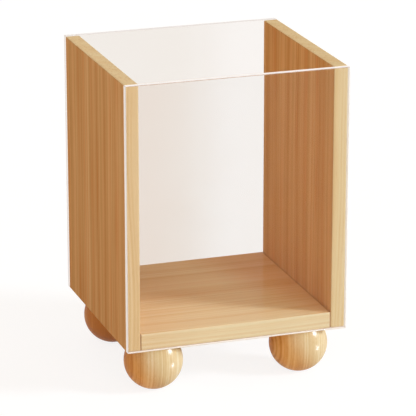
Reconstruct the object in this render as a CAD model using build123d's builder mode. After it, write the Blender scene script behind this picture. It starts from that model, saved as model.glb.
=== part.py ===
from build123d import *
from math import sqrt
import os

# Box over the wood and both clear panels, without the feet (all sizes in millimetres)
box_width = 110.0
box_depth = 102.0
box_height = 130.0

# Board and sheet thicknesses
side_thickness = 7.0
bottom_thickness = 8.0
acrylic_thickness = 3.0

# Glue line between each clear panel and the edges of the boards
acrylic_glue_line = 0.1

# Eased edges of the boards and bevelled edges of the clear sheets
wood_edge_radius = 0.5
acrylic_bevel = 0.25

# Ball feet: the ball, its flat seat under the bottom panel and the flat that it stands on
ball_diameter = 28.5
foot_seat_diameter = 18.0
foot_rest_diameter = 6.0

# Ball axis, measured in from the outer side face and from the outer front or back face
foot_side_inset = 18.0
foot_end_inset = 17.5

# Blind glued dowels
foot_dowel_diameter = 6.0
foot_dowel_in_ball = 10.0
side_dowel_diameter = 4.0
side_dowel_in_bottom = 12.0
side_dowel_names = ["front", "middle", "back"]
dowel_chamfer = 0.5
dowel_glue_gap = 0.1
dowel_end_gap = 0.5
wood_left_behind_hole = 2.5

# Sizes that follow from the ones above
wood_depth = box_depth - 2 * (acrylic_thickness + acrylic_glue_line)
bottom_width = box_width - 2 * side_thickness
side_inner_x = bottom_width / 2

ball_radius = ball_diameter / 2
ball_center_z = sqrt(ball_radius**2 - (foot_rest_diameter / 2) ** 2)
foot_height = ball_center_z + sqrt(ball_radius**2 - (foot_seat_diameter / 2) ** 2)
foot_x = box_width / 2 - foot_side_inset
foot_y = box_depth / 2 - foot_end_inset

foot_hole_depth = bottom_thickness - wood_left_behind_hole
foot_dowel_in_bottom = foot_hole_depth - dowel_end_gap
side_hole_depth = side_thickness - wood_left_behind_hole
side_dowel_in_side = side_hole_depth - dowel_end_gap
side_dowel_z = foot_height + bottom_thickness / 2
side_dowel_count = len(side_dowel_names)
side_dowel_pitch = 2 * foot_y / (side_dowel_count + 1)

foot_hole_radius = foot_dowel_diameter / 2 + dowel_glue_gap
side_hole_radius = side_dowel_diameter / 2 + dowel_glue_gap

# Left and right, front and back, as directions along X and Y
sides = {"left": -1, "right": 1}
ends = {"front": -1, "back": 1}

# The underside of the three boards, where the feet are seated
underside = Plane.XY.offset(foot_height)


def side_joint(hand):
    """Plane of the butt joint between a side and the bottom, facing outwards, on the dowel axes."""
    return Plane(origin=(hand * side_inner_x, 0, side_dowel_z), x_dir=(0, 1, 0), z_dir=(hand, 0, 0))


def save(piece, name):
    """Label a finished piece and write it under its own name."""
    piece.part.label = name
    export_step(piece.part, f"parts/{name}.step")


os.makedirs("parts", exist_ok=True)

# Side panels: upright boards with blind dowel holes in their inner faces
for side_name, hand in sides.items():
    with BuildPart() as side_panel:
        with BuildSketch(underside):
            with Locations((hand * (side_inner_x + side_thickness / 2), 0)):
                Rectangle(side_thickness, wood_depth)
        extrude(amount=box_height)
        fillet(side_panel.edges(), wood_edge_radius)
        with BuildSketch(side_joint(hand)):
            with GridLocations(side_dowel_pitch, 0, side_dowel_count, 1):
                Circle(side_hole_radius)
        extrude(amount=side_hole_depth, mode=Mode.SUBTRACT)
    save(side_panel, f"{side_name}_side_panel")

# Bottom panel: lies between the sides, with dowel holes in both ends and in its underside
with BuildPart() as bottom_panel:
    with BuildSketch(underside):
        Rectangle(bottom_width, wood_depth)
    extrude(amount=bottom_thickness)
    fillet(bottom_panel.edges(), wood_edge_radius)
    for hand in sides.values():
        with BuildSketch(side_joint(hand)):
            with GridLocations(side_dowel_pitch, 0, side_dowel_count, 1):
                Circle(side_hole_radius)
        extrude(amount=-(side_dowel_in_bottom + dowel_end_gap), mode=Mode.SUBTRACT)
    with BuildSketch(underside):
        with GridLocations(2 * foot_x, 2 * foot_y, 2, 2):
            Circle(foot_hole_radius)
    extrude(amount=foot_hole_depth, mode=Mode.SUBTRACT)
save(bottom_panel, "bottom_panel")

# Clear panels: sheets over the whole front and the whole back, glued to the edges of the boards
for end_name, end in ends.items():
    with BuildPart() as acrylic_panel:
        with BuildSketch(underside):
            with Locations((0, end * (box_depth - acrylic_thickness) / 2)):
                Rectangle(box_width, acrylic_thickness)
        extrude(amount=box_height)
        chamfer(acrylic_panel.edges(), acrylic_bevel)
    save(acrylic_panel, f"{end_name}_acrylic_panel")

# Ball feet, each with its glued dowel up into the bottom panel
for end_name, end in ends.items():
    for side_name, hand in sides.items():
        foot_axis = Axis((hand * foot_x, end * foot_y, 0), (0, 0, 1))
        foot_section = Plane(origin=foot_axis.position, x_dir=(1, 0, 0), z_dir=(0, -1, 0))

        with BuildPart() as foot:
            with BuildSketch(foot_section):
                with BuildLine():
                    rest = Line((0, 0), (foot_rest_diameter / 2, 0))
                    ball = ThreePointArc(
                        rest @ 1,
                        (ball_radius, ball_center_z),
                        (foot_seat_diameter / 2, foot_height),
                    )
                    Polyline(ball @ 1, (0, foot_height), rest @ 0)
                make_face()
            revolve(axis=foot_axis)
            with BuildSketch(underside):
                with Locations((hand * foot_x, end * foot_y)):
                    Circle(foot_hole_radius)
            extrude(amount=-(foot_dowel_in_ball + dowel_end_gap), mode=Mode.SUBTRACT)
        save(foot, f"foot_{end_name}_{side_name}")

        with BuildPart() as foot_dowel:
            with BuildSketch(Plane.XY.offset(foot_height - foot_dowel_in_ball)):
                with Locations((hand * foot_x, end * foot_y)):
                    Circle(foot_dowel_diameter / 2)
            extrude(amount=foot_dowel_in_ball + foot_dowel_in_bottom)
            chamfer(foot_dowel.edges().filter_by(GeomType.CIRCLE), dowel_chamfer)
        save(foot_dowel, f"foot_dowel_{end_name}_{side_name}")

# Side dowels: a row in each butt joint, spaced evenly between the two feet
for side_name, hand in sides.items():
    for number, place_name in enumerate(side_dowel_names):
        along_y = (number - (side_dowel_count - 1) / 2) * side_dowel_pitch

        with BuildPart() as side_dowel:
            with BuildSketch(side_joint(hand).offset(-side_dowel_in_bottom)):
                with Locations((along_y, 0)):
                    Circle(side_dowel_diameter / 2)
            extrude(amount=side_dowel_in_bottom + side_dowel_in_side)
            chamfer(side_dowel.edges().filter_by(GeomType.CIRCLE), dowel_chamfer)
        save(side_dowel, f"side_dowel_{side_name}_{place_name}")
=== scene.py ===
import math

import bpy
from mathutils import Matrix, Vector

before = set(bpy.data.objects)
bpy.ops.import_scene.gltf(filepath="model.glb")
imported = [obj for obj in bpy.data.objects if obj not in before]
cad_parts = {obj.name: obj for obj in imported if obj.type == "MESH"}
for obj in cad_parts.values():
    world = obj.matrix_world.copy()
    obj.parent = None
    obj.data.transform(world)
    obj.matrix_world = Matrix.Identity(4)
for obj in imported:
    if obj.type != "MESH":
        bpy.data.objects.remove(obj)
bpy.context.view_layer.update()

MILLIMETRE = 0.001
TO_MILLIMETRES = (1000.0, 1000.0, 1000.0)
AXES = "XYZ"
WHITE = (1.0, 1.0, 1.0, 1.0)

# Camera: the photograph's viewing angle, with a long lens and no shift
CAMERA_AZIMUTH = -18.87
CAMERA_ELEVATION = 17.84
CAMERA_DISTANCE = 1.2854
CAMERA_TARGET = Vector((0.0006, -0.0045, 0.0772))
SENSOR_WIDTH = 36.0
PHOTO_WIDTH = 416
FOCAL_LENGTH_IN_PIXELS = 2646

# Light: a soft key from the right and a broad fill from the front, slightly cool, in a warm room
LAMP_COLOUR = (0.87, 1.0, 1.14)
KEY = {"azimuth": 60, "elevation": 25, "strength": 2.1, "angle": 14}
FILL = {"azimuth": -12, "elevation": 4, "strength": 0.97, "angle": 90}
ROOM_COLOUR = (1.0, 0.77, 0.57, 1.0)
ROOM_STRENGTH = 0.54

# The key as varnish mirrors it, straight and by way of the floor: it shows in glossy surfaces alone
GLINT = {"azimuth": 67, "elevation": 28, "strength": 4.2, "angle": 14}
LOW_GLINT = {"azimuth": 61, "elevation": -16, "strength": 1.5, "angle": 11}

# Floor: the warm light that it throws back, and its own white look, on which a faint shadow shows
FLOOR_SIZE = 6.0
FLOOR_BOUNCE = (0.82, 0.7, 0.57, 1.0)
FLOOR_SHADE = (0.22, 0.22, 0.22, 1.0)
FLOOR_GLOW = (0.84, 0.85)
FLOOR_GRAIN_SCALE = (9.0, 9.0, 9.0)


def srgb(red, green, blue):
    """A colour written as 0 to 255 screen values, as the linear RGBA that sockets take."""

    def linear(value):
        share = value / 255
        return share / 12.92 if share <= 0.04045 else ((share + 0.055) / 1.055) ** 2.4

    return (linear(red), linear(green), linear(blue), 1.0)


def direction(azimuth, elevation):
    """Unit vector towards a place at that azimuth (0 is the front, 90 the right) and elevation."""
    turn = math.radians(azimuth)
    rise = math.radians(elevation)
    return Vector((math.sin(turn) * math.cos(rise), -math.cos(turn) * math.cos(rise), math.sin(rise)))


class Graph:
    """A short way to write a node tree: most calls add a node and give its output socket."""

    def __init__(self, tree):
        self.tree = tree
        tree.nodes.clear()

    def node(self, kind, inputs=None, **settings):
        made = self.tree.nodes.new(kind)
        for name, value in settings.items():
            setattr(made, name, value)
        for key, value in (inputs or {}).items():
            if isinstance(value, bpy.types.NodeSocket):
                self.tree.links.new(value, made.inputs[key])
            else:
                made.inputs[key].default_value = value
        return made

    def math(self, operation, *values, clamp=False):
        inputs = dict(enumerate(values))
        return self.node("ShaderNodeMath", inputs, operation=operation, use_clamp=clamp).outputs[0]

    def times(self, first, second):
        return self.math("MULTIPLY", first, second)

    def vector(self, operation, *values):
        made = self.node("ShaderNodeVectorMath", dict(enumerate(values)), operation=operation)
        return made.outputs["Value" if operation == "LENGTH" else "Vector"]

    def scaled(self, vector, scales):
        return self.vector("MULTIPLY", vector, scales)

    def split(self, vector):
        """The three parts of a vector."""
        return self.node("ShaderNodeSeparateXYZ", {0: vector}).outputs

    def join(self, values):
        """A vector of three parts."""
        return self.node("ShaderNodeCombineXYZ", dict(enumerate(values))).outputs[0]

    def noise(self, vector, detail=2.0, roughness=0.5):
        inputs = {"Vector": vector, "Scale": 1.0, "Detail": detail, "Roughness": roughness}
        return self.node("ShaderNodeTexNoise", inputs, noise_dimensions="3D").outputs[0]

    def noise_along(self, value, detail=2.0, roughness=0.5):
        inputs = {"W": value, "Scale": 1.0, "Detail": detail, "Roughness": roughness}
        return self.node("ShaderNodeTexNoise", inputs, noise_dimensions="1D").outputs[0]

    def spread(self, value, low, high):
        """value from low to high, spread smoothly over 0 to 1."""
        inputs = {"Value": value, "From Min": low, "From Max": high}
        return self.node("ShaderNodeMapRange", inputs, interpolation_type="SMOOTHSTEP").outputs[0]

    def between(self, value, low, high):
        """value from 0 to 1, mapped to low to high."""
        inputs = {"Value": value, "To Min": low, "To Max": high}
        return self.node("ShaderNodeMapRange", inputs).outputs[0]

    def ramp(self, value, colours):
        """Colours set out evenly over a value from 0 to 1."""
        made = self.node("ShaderNodeValToRGB", {"Fac": value})
        elements = made.color_ramp.elements
        for number in range(len(colours) - 2):
            elements.new((number + 1) / (len(colours) - 1))
        for element, colour in zip(elements, colours):
            element.color = colour
        return made.outputs["Color"]

    def mix(self, share, first, second):
        """Two plain numbers, mixed."""
        return self.node("ShaderNodeMix", {0: share, 2: first, 3: second}).outputs[0]

    def blend(self, share, first, second, how="MIX"):
        """Two colours, blended."""
        inputs = {0: share, 6: first, 7: second}
        return self.node("ShaderNodeMix", inputs, data_type="RGBA", blend_type=how).outputs[2]

    def shader_mix(self, share, first, second):
        return self.node("ShaderNodeMixShader", {0: share, 1: first, 2: second}).outputs[0]

    def surface(self, shader):
        self.node("ShaderNodeOutputMaterial", {"Surface": shader})


class Spot:
    """Where a point of the object lies, in millimetres, and which way its surface faces."""

    def __init__(self, g):
        coordinates = g.node("ShaderNodeTexCoord").outputs
        self.in_millimetres = g.scaled(coordinates["Object"], TO_MILLIMETRES)
        self.place = g.split(self.in_millimetres)
        self.normal = g.split(coordinates["Normal"])
        self.facing = g.split(g.vector("ABSOLUTE", coordinates["Normal"]))


def new_material(name):
    """An empty material and the graph that fills it."""
    material = bpy.data.materials.new(name)
    material.use_nodes = True
    return material, Graph(material.node_tree)


# How much of a normal lies along an axis where a surface starts to count as facing it, and where it does
FACING_RANGE = (0.6, 0.9)
# Where a surface counts as looking left, for the painted shade on inner faces
INNER_SHADE_FACING = (-0.3, -0.7)
ROUNDED_RANGE = (0.99, 0.8)

# Wood tones, from dark growth rings to the pale wood between them
FACE_TONES = [srgb(207, 159, 105), srgb(216, 173, 120), srgb(225, 185, 134), srgb(233, 197, 149)]
# Painted shade: darker, redder tones for the inner face of the right board, which the box shades
INNER_SHADE_TONES = [srgb(203, 152, 96), srgb(213, 166, 110), srgb(221, 177, 123), srgb(229, 189, 137)]
BOTTOM_TONES = [srgb(229, 193, 138), srgb(237, 207, 156), srgb(243, 217, 168), srgb(248, 228, 186)]
# Edge tones, paler than face tones: partly the edge grain's own colour, partly painted light on the lit
# edges against painted shade on the faces
EDGE_TONES = [srgb(222, 193, 140), srgb(227, 203, 154), srgb(231, 211, 165), srgb(234, 219, 180)]
PALER_EDGE_TONES = [srgb(226, 199, 149), srgb(232, 209, 163), srgb(236, 217, 174), srgb(239, 226, 190)]
# Painted shade and light on the balls: redder tones for their shaded left sides, paler tones for their lit
# right sides
SHADED_SIDE_TONES = [srgb(204, 135, 66), srgb(219, 156, 83), srgb(231, 176, 104), srgb(240, 195, 129)]
LIT_SIDE_TONES = [srgb(211, 185, 137), srgb(219, 198, 153), srgb(224, 207, 166), srgb(230, 219, 186)]
DOWEL_TONES = [srgb(206, 176, 130), srgb(216, 190, 146), srgb(224, 202, 162), srgb(232, 214, 180)]

# Where each axis of the object lies in the wood: two directions across the grain, then along it
GRAIN_ORDER = {"X": (1, 2, 0), "Z": (1, 0, 2)}

# Noise scales per millimetre: in two directions across the grain, then along it
ACROSS_GRAIN = (1.0, 1.0, 0.0)
WANDER_SCALE = (1 / 38, 1 / 38, 1 / 150)
FIBRE_SCALE = (1 / 0.4, 1 / 0.4, 1 / 36)
CLOUD_SCALE = (1 / 30, 1 / 30, 1 / 110)
PATCH_SCALE = (1 / 9, 1 / 9, 1 / 55)
PORE_SCALE = (1.3, 1.3, 0.1)
FLECK_SCALE = (3.0, 3.0, 0.18)

# Growth rings: how far they wander, and the pitch of bands, fine lines and redder streaks, in millimetres
RING_WANDER = 6.0
BAND_PITCH = 8.0
LINE_PITCH = 0.9
BLUSH_PITCH = 6.0
BLUSH_START = 7.3

# What makes up the tone of the wood
BAND_SHARE = 0.38
LINE_SHARE = 0.29
FIBRE_SHARE = 0.16
CLOUD_SHARE = 0.17
MIDDLE_TONE = 0.5

# Redder streaks: the noise that shows, and how its strength changes from place to place and on edges
BLUSH_SHADE = srgb(252, 232, 218)
BLUSH_RANGE = (0.42, 0.66)
PATCH_RANGE = (0.3, 0.7)
PATCH_GAIN = (0.35, 1.25)
EDGE_BLUSH = 0.25

# Edges: a painted highlight where rounded, and end grain, the tops of the side boards, paler as painted
# light, more even and full of pores
ROUNDED_HIGHLIGHT_SHARE = 0.35
END_GRAIN_PAINTED_LIGHT = srgb(240, 219, 174)
END_GRAIN_LIGHT_SHARE = 0.25
END_GRAIN_EVENNESS = 0.2
PORE_SHADE = srgb(226, 204, 180)
PORE_RANGE = (0.5, 0.7)
PORE_STRENGTH = 0.5

# Short dark flecks along the grain
FLECK_RANGE = (0.64, 0.76)
FLECK_STRENGTH = 0.2

# Painted light and shade on the balls: how far the border between their shaded and lit sides leans, and
# the distance over which the lit side takes over, in millimetres
LIT_SIDE_SLANT = 0.4
LIT_SIDE_BLEND = 15

# Painted shade at the bottom board's right end, where the right board shades it, as places along X that
# lean with Y; and the darker lines at its glue joints, as distances from the middle
WALL_PAINTED_SHADE = srgb(243, 219, 199)
WALL_SHADE_RANGE = (12, 44)
WALL_SHADE_SLANT = 0.35
JOINT_SHADE = srgb(168, 110, 62)
JOINT_RANGE = (47.3, 47.7)
JOINT_STRENGTH = 0.75

# Surface of the wood
FIBRE_RELIEF = 0.25
FIBRE_DEPTH = 0.02 * MILLIMETRE
ROUGHNESS_SWING = 0.07


def growth_rings(g, grain, pith):
    """How far a point lies from the pith, and the same with rings that wander along the grain."""
    from_pith = g.vector("SUBTRACT", grain, (pith[0], pith[1], 0.0))
    radius = g.vector("LENGTH", g.scaled(from_pith, ACROSS_GRAIN))
    wander = g.noise(g.scaled(grain, WANDER_SCALE), detail=1.0)
    return radius, g.math("MULTIPLY_ADD", wander, RING_WANDER, radius)


def wood_tone(g, grain, ring, fibre, contrast, shift):
    """0 in dark growth rings to 1 in pale wood, with fibres and slow changes."""
    bands = g.noise_along(g.times(ring, 1 / BAND_PITCH), detail=3.0, roughness=0.7)
    lines = g.noise_along(g.times(ring, 1 / LINE_PITCH), detail=1.0)
    cloud = g.noise(g.scaled(grain, CLOUD_SCALE))
    tone = g.times(bands, BAND_SHARE)
    for part, share in ((lines, LINE_SHARE), (fibre, FIBRE_SHARE), (cloud, CLOUD_SHARE)):
        tone = g.math("MULTIPLY_ADD", part, share, tone)
    reach = 0.5 / contrast
    middle = MIDDLE_TONE - shift * reach
    return g.spread(tone, middle - reach, middle + reach)


def red_streaks(g, grain, ring):
    """Redder streaks along the rings, stronger in some places than in others."""
    streak = g.noise_along(g.math("MULTIPLY_ADD", ring, 1 / BLUSH_PITCH, BLUSH_START), roughness=0.6)
    patch = g.noise(g.scaled(grain, PATCH_SCALE), detail=1.0)
    strength = g.between(g.spread(patch, *PATCH_RANGE), *PATCH_GAIN)
    return g.times(g.spread(streak, *BLUSH_RANGE), strength)


def with_edges(g, spot, grain, face, end_grain, colour, edge_colour, rounded_highlight_tone):
    """A board's colour with edges of their own colour, partly painted light, a painted highlight where
    rounded, paler end grain as painted light, and pores in the end grain.
    """
    colour = g.blend(face, edge_colour, colour)
    squarest = g.math("MAXIMUM", g.math("MAXIMUM", spot.facing[0], spot.facing[1]), spot.facing[2])
    rounded = g.spread(squarest, *ROUNDED_RANGE)
    # painted highlight along rounded edges
    colour = g.blend(g.times(rounded, ROUNDED_HIGHLIGHT_SHARE), colour, rounded_highlight_tone)
    # painted light on the end grain, chiefly the tops of the side boards
    colour = g.blend(g.times(end_grain, END_GRAIN_LIGHT_SHARE), colour, END_GRAIN_PAINTED_LIGHT)
    pores = g.times(g.spread(g.noise(g.scaled(grain, PORE_SCALE)), *PORE_RANGE), end_grain)
    return g.blend(g.times(pores, PORE_STRENGTH), colour, PORE_SHADE, how="MULTIPLY")


def wood_shader(g, colour, fibre, roughness, coat, coat_roughness):
    """Matt wood with its fibres in slight relief, under a coat of varnish."""
    bump = g.node("ShaderNodeBump", {"Height": fibre, "Strength": FIBRE_RELIEF, "Distance": FIBRE_DEPTH})
    inputs = {
        "Base Color": colour,
        "Roughness": g.between(fibre, roughness + ROUGHNESS_SWING, roughness - ROUGHNESS_SWING),
        "Specular IOR Level": 0.0,
        "Coat Weight": coat,
        "Coat Roughness": coat_roughness,
        "Normal": bump.outputs[0],
    }
    return g.node("ShaderNodeBsdfPrincipled", inputs).outputs[0]


def wood(name, along, pith, tones, face_axis=None, edge_tones=None, inner_shade_tones=None, lit_side_tones=None,
         lit_side_border=None, wall_shade=None, joint=None, contrast=2.5, shift=0.0, blush=0.15, roughness=0.55,
         coat=0.0, coat_roughness=0.15):
    """Solid wood, grained along one axis. pith is the heart's place across the grain, in millimetres.

    Surfaces not looking along face_axis take edge_tones, and those that look left inner tones, painted
    shade.
    Lit-side tones take over across the lit-side border from the pith, as painted light. Between the two
    wall-shade places the wood takes painted shade, and it darkens between the two joint distances.
    contrast and shift set how strong and how pale the grain is, and blush how red its streaks are."""
    material, g = new_material(name)
    spot = Spot(g)
    grain = g.join([spot.place[axis] for axis in GRAIN_ORDER[along]])
    radius, ring = growth_rings(g, grain, pith)
    fibre = g.noise(g.scaled(grain, FIBRE_SCALE), roughness=0.6)
    end_grain = g.spread(spot.facing[AXES.index(along)], *FACING_RANGE)
    tone = wood_tone(g, grain, ring, fibre, contrast, shift)
    tone = g.mix(g.times(end_grain, END_GRAIN_EVENNESS), tone, MIDDLE_TONE)
    red = g.times(red_streaks(g, grain, ring), blush)

    colour = g.ramp(tone, tones)
    # painted shade: darker tones on surfaces that look left, the inner face of the right board
    if inner_shade_tones:
        shaded_inwards = g.spread(spot.normal[0], *INNER_SHADE_FACING)
        colour = g.blend(shaded_inwards, colour, g.ramp(tone, inner_shade_tones))
    # painted light: paler tones take over on the lit side of a ball, past a slanted border
    if lit_side_tones:
        slanted = g.math("MULTIPLY_ADD", spot.place[2], LIT_SIDE_SLANT, radius)
        colour = g.blend(g.spread(slanted, *lit_side_border), colour, g.ramp(tone, lit_side_tones))
    # painted shade near the right board, leaning back as that board's shadow does
    if wall_shade:
        slanted = g.math("MULTIPLY_ADD", spot.place[1], WALL_SHADE_SLANT, spot.place[0])
        colour = g.blend(g.spread(slanted, *wall_shade), colour, WALL_PAINTED_SHADE, how="MULTIPLY")
    # edges take their own paler tones: partly edge grain, partly painted light
    if edge_tones:
        face = g.spread(spot.facing[AXES.index(face_axis)], *FACING_RANGE)
        red = g.times(red, g.between(face, EDGE_BLUSH, 1.0))
        edge_colour = g.ramp(tone, edge_tones)
        colour = with_edges(g, spot, grain, face, end_grain, colour, edge_colour, edge_tones[-1])
    if joint:
        near_joint = g.spread(g.math("ABSOLUTE", spot.place[0]), *joint)
        colour = g.blend(g.times(near_joint, JOINT_STRENGTH), colour, JOINT_SHADE)
    colour = g.blend(red, colour, BLUSH_SHADE, how="MULTIPLY")
    fleck = g.spread(g.noise(g.scaled(grain, FLECK_SCALE), detail=1.0), *FLECK_RANGE)
    colour = g.blend(g.times(fleck, FLECK_STRENGTH), colour, tones[0], how="MULTIPLY")

    g.surface(wood_shader(g, colour, fibre, roughness, coat, coat_roughness))
    return material


# Clear sheets: the way along Y that the outer face looks, the span along X in millimetres over which
# painted shade on the left fades into the plain tint on the right, and the share of the painted edge glow
# that the top edge has
SHEETS = {
    "front_acrylic_panel": {
        "outwards": -1,
        "shade_span": (-46, -6),
        "left": srgb(246, 240, 236),
        "right": srgb(250, 250, 250),
        "top_glow": 0.6,
    },
    "back_acrylic_panel": {
        "outwards": 1,
        "shade_span": (2, 38),
        "left": srgb(239, 235, 230),
        "right": srgb(247, 245, 243),
        "top_glow": 0.2,
    },
}
SHEET_IOR = 1.22
LAMP_FILTER = srgb(252, 251, 249)
SMUDGE_SCALE = (1 / 24, 1 / 24, 1 / 16)
SMUDGE_TINT = (-0.15, 0.15)
SMUDGE_ROUGHNESS = (0.0, 0.02)

# Sawn edges of the sheets, with a painted glow for the light they gather; the upright edges' bluish tone
# offsets the warm room light on them
SAWN_TONE = srgb(234, 233, 232)
UPRIGHT_SAWN_TONE = srgb(198, 205, 214)
TOP_BEVEL_PAINTED_REFLECTION = srgb(202, 182, 168)
SAWN_ROUGHNESS = 0.4
SAW_SCALE = (0.6, 3.0, 0.6)
SAW_PALENESS = 0.25
EDGE_LIGHT = srgb(255, 252, 248)
EDGE_GLOW = 0.38
EDGE_RANGE = (0.95, 0.72)
BEVEL_RANGE = (0.5, 0.7)
TOP_RANGE = (0.75, 0.95)


def clear_acrylic(name, outwards, shade_span, left, right, top_glow):
    """Polished clear sheet with pale, finely sawn edges that have a painted glow. Lamps shine straight
    through it.

    The bevels of its inner face stay clear, and the top bevel of its outer face is darker, a painted
    reflection."""
    material, g = new_material(name)
    spot = Spot(g)
    upwards = spot.normal[2]
    inner_bevel = g.spread(g.times(spot.normal[1], -outwards), *BEVEL_RANGE)
    edge = g.times(g.spread(spot.facing[1], *EDGE_RANGE), g.between(inner_bevel, 1.0, 0.0))
    top_bevel = g.times(g.spread(upwards, *BEVEL_RANGE), g.spread(spot.facing[1], *BEVEL_RANGE))
    upright = g.spread(spot.facing[0], *FACING_RANGE)

    smudge = g.noise(g.scaled(spot.in_millimetres, SMUDGE_SCALE), detail=3.0)
    # painted shade: darker on the left of the sheet, fading to the right, broken by smudges
    shade_and_smudge = g.math("ADD", g.spread(spot.place[0], *shade_span), g.between(smudge, *SMUDGE_TINT), clamp=True)
    tint_and_shade = g.blend(shade_and_smudge, left, right)

    saw = g.noise(g.scaled(spot.in_millimetres, SAW_SCALE))
    sawn = g.blend(upright, SAWN_TONE, UPRIGHT_SAWN_TONE)
    sawn = g.blend(saw, sawn, g.blend(SAW_PALENESS, sawn, WHITE))
    # painted reflection: a darker line along the top bevel of the outer face
    sawn = g.blend(top_bevel, sawn, TOP_BEVEL_PAINTED_REFLECTION)
    # painted glow on the upright edges and, by a share, on the top edges
    glow = g.math("MAXIMUM", upright, g.times(g.spread(upwards, *TOP_RANGE), top_glow))

    inputs = {
        "Base Color": g.blend(edge, tint_and_shade, sawn),
        "Roughness": g.mix(edge, g.between(smudge, *SMUDGE_ROUGHNESS), SAWN_ROUGHNESS),
        "IOR": SHEET_IOR,
        "Transmission Weight": g.between(edge, 1.0, 0.0),
        "Emission Color": EDGE_LIGHT,
        "Emission Strength": g.times(glow, EDGE_GLOW),
    }
    sheet = g.node("ShaderNodeBsdfPrincipled", inputs)
    through = g.node("ShaderNodeBsdfTransparent", {"Color": LAMP_FILTER})
    path = g.node("ShaderNodeLightPath").outputs
    lamp_ray = g.math("MAXIMUM", path["Is Shadow Ray"], path["Is Diffuse Ray"])
    g.surface(g.shader_mix(lamp_ray, sheet.outputs[0], through.outputs[0]))
    return material


def seen_directly(g):
    """1 for rays that show a surface as it is: to the camera, in a reflection and through the sheets."""
    path = g.node("ShaderNodeLightPath").outputs
    mirrored = g.math("MAXIMUM", path["Is Glossy Ray"], path["Is Transmission Ray"])
    return g.math("MAXIMUM", path["Is Camera Ray"], mirrored)


def white_floor():
    """A floor that looks white with a faint shadow, and throws warm light back at the object."""
    mesh = bpy.data.meshes.new("floor")
    half = FLOOR_SIZE / 2
    corners = [(-half, -half, 0), (half, -half, 0), (half, half, 0), (-half, half, 0)]
    mesh.from_pydata(corners, [], [(0, 1, 2, 3)])
    floor = bpy.data.objects.new("floor", mesh)
    bpy.context.scene.collection.objects.link(floor)
    material, g = new_material("floor_white")
    grain = g.noise(g.scaled(g.node("ShaderNodeTexCoord").outputs["Object"], FLOOR_GRAIN_SCALE))
    lit = g.node("ShaderNodeBsdfDiffuse", {"Color": FLOOR_BOUNCE})
    shade = g.node("ShaderNodeBsdfDiffuse", {"Color": FLOOR_SHADE})
    glow = g.node("ShaderNodeEmission", {"Strength": g.between(grain, *FLOOR_GLOW)})
    shown = g.node("ShaderNodeAddShader", {0: shade.outputs[0], 1: glow.outputs[0]})
    g.surface(g.shader_mix(seen_directly(g), lit.outputs[0], shown.outputs[0]))
    mesh.materials.append(material)


def white_room():
    """A room that looks white and lights the object with warm, even light."""
    world = bpy.data.worlds.new("room")
    world.use_nodes = True
    bpy.context.scene.world = world
    g = Graph(world.node_tree)
    light = g.node("ShaderNodeBackground", {"Color": ROOM_COLOUR, "Strength": ROOM_STRENGTH})
    shown = g.node("ShaderNodeBackground", {"Color": WHITE, "Strength": 1.0})
    mixed = g.shader_mix(seen_directly(g), light.outputs[0], shown.outputs[0])
    g.node("ShaderNodeOutputWorld", {"Surface": mixed})


def sun(name, azimuth, elevation, strength, angle, gloss_only=False):
    """A lamp far away, for matt surfaces alone or, without a shadow, for glossy ones alone."""
    lamp = bpy.data.lights.new(name, "SUN")
    lamp.color = LAMP_COLOUR
    lamp.energy = strength
    lamp.angle = math.radians(angle)
    lamp.use_shadow = not gloss_only
    lamp.cycles.use_multiple_importance_sampling = not gloss_only
    lit = bpy.data.objects.new(name, lamp)
    lit.visible_diffuse = not gloss_only
    lit.visible_glossy = gloss_only
    lit.rotation_euler = direction(azimuth, elevation).to_track_quat("Z", "Y").to_euler()
    bpy.context.scene.collection.objects.link(lit)


def photo_camera():
    """The camera at the photograph's place."""
    data = bpy.data.cameras.new("camera")
    data.sensor_width = SENSOR_WIDTH
    data.lens = FOCAL_LENGTH_IN_PIXELS / PHOTO_WIDTH * SENSOR_WIDTH
    camera = bpy.data.objects.new("camera", data)
    back = direction(CAMERA_AZIMUTH, CAMERA_ELEVATION)
    camera.location = CAMERA_TARGET + back * CAMERA_DISTANCE
    camera.rotation_euler = back.to_track_quat("Z", "Y").to_euler()
    bpy.context.scene.collection.objects.link(camera)
    bpy.context.scene.camera = camera


# Each ball is turned from its own billet: how far to its left the pith lies, how far from the ball's
# middle its painted lit side starts, and how much paler the grain is. The back-left ball is painted
# darker as shade under the box: its lit side starts further right and its grain is darker
FOOT_GRAIN_AND_SHADING = {
    "foot_front_left": (110, -11, 0.0),
    "foot_front_right": (126, -9, 0.0),
    "foot_back_left": (134, 4, -1.0),
    "foot_back_right": (147, -6, 0.0),
}
PITH_BEHIND_BALL = 9

# Pith of the other pieces, across their grain
LEFT_PITH = (-260, -250)
RIGHT_PITH = (240, 260)
BOTTOM_PITH = (-190, -150)
DOWEL_PITH = (-30, 20)


def dress(node, material):
    """Give a piece of the frame its material."""
    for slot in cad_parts[node].material_slots:
        slot.material = material


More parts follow.
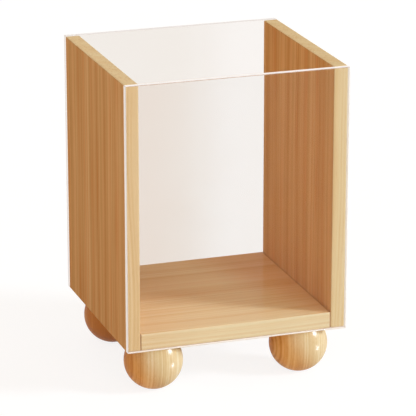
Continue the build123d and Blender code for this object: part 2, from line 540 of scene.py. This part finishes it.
def foot_wood(node):
    """Varnished wood of a ball, painted darker and redder on its shaded left and paler on its lit right.
    """
    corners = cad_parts[node].bound_box
    middle = sum((Vector(corner) for corner in corners), Vector()) / len(corners) / MILLIMETRE
    heart, lit_side_border, shift = FOOT_GRAIN_AND_SHADING[node]
    start = heart + lit_side_border + LIT_SIDE_SLANT * middle.z
    return wood(
        f"{node}_wood", "Z", (middle.y + PITH_BEHIND_BALL, middle.x - heart), SHADED_SIDE_TONES,
        lit_side_tones=LIT_SIDE_TONES, lit_side_border=(start, start + LIT_SIDE_BLEND),
        contrast=3.2, shift=shift, roughness=0.5, coat=0.35, coat_roughness=0.24,
    )


left_wood = wood(
    "left_side_wood", "Z", LEFT_PITH, FACE_TONES,
    face_axis="X", edge_tones=PALER_EDGE_TONES, contrast=3.1, shift=-0.1, blush=0.85,
)
right_wood = wood(
    "right_side_wood", "Z", RIGHT_PITH, FACE_TONES,
    face_axis="X", edge_tones=EDGE_TONES, inner_shade_tones=INNER_SHADE_TONES, contrast=3.1, shift=0.1, blush=0.85,
)
bottom_wood = wood(
    "bottom_wood", "X", BOTTOM_PITH, BOTTOM_TONES,
    face_axis="Z", edge_tones=PALER_EDGE_TONES, wall_shade=WALL_SHADE_RANGE, joint=JOINT_RANGE,
    shift=0.3, coat=0.2, coat_roughness=0.12,
)
dress("left_side_panel", left_wood)
dress("right_side_panel", right_wood)
dress("bottom_panel", bottom_wood)
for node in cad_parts:
    if node in SHEETS:
        dress(node, clear_acrylic(f"{node}_clear", **SHEETS[node]))
    elif node in FOOT_GRAIN_AND_SHADING:
        dress(node, foot_wood(node))
    elif "dowel" in node:
        along = "Z" if node.startswith("foot") else "X"
        dress(node, wood(f"{node}_wood", along, DOWEL_PITH, DOWEL_TONES))

white_floor()
white_room()
sun("key", **KEY)
sun("fill", **FILL)
sun("glint", **GLINT, gloss_only=True)
sun("low_glint", **LOW_GLINT, gloss_only=True)
photo_camera()
bpy.context.scene.view_settings.view_transform = "Standard"
